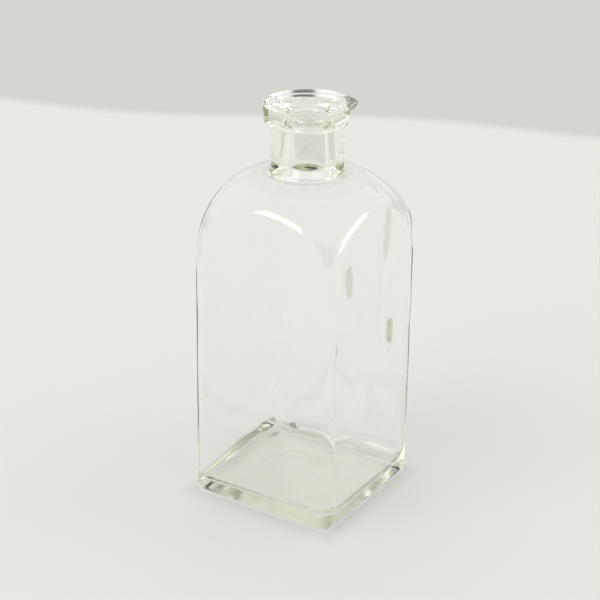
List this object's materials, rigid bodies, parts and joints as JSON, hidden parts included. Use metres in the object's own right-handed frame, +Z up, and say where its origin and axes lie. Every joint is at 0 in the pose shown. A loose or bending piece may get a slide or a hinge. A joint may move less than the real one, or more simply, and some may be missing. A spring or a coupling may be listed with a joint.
{
  "type": "square glass bottle",
  "caption": "Square clear glass bottle with flat arched sides, a domed shoulder, a short neck and a thick flared lip.",
  "frame": {"origin": "middle of the base, on the plane that the bottle stands on", "axes": "+Z up along the neck; the four flat sides face +X, -X, +Y and -Y"},
  "size_m": [0.07, 0.07, 0.1774],
  "materials": {
    "bottle_glass": "clear, faint green cast",
    "lip_glass": "clear, faint green cast, thicker than the body"
  },
  "bodies": {
    "root": {"blown_body": "bottle_glass", "applied_lip": "lip_glass"}
  },
  "joints": []
}
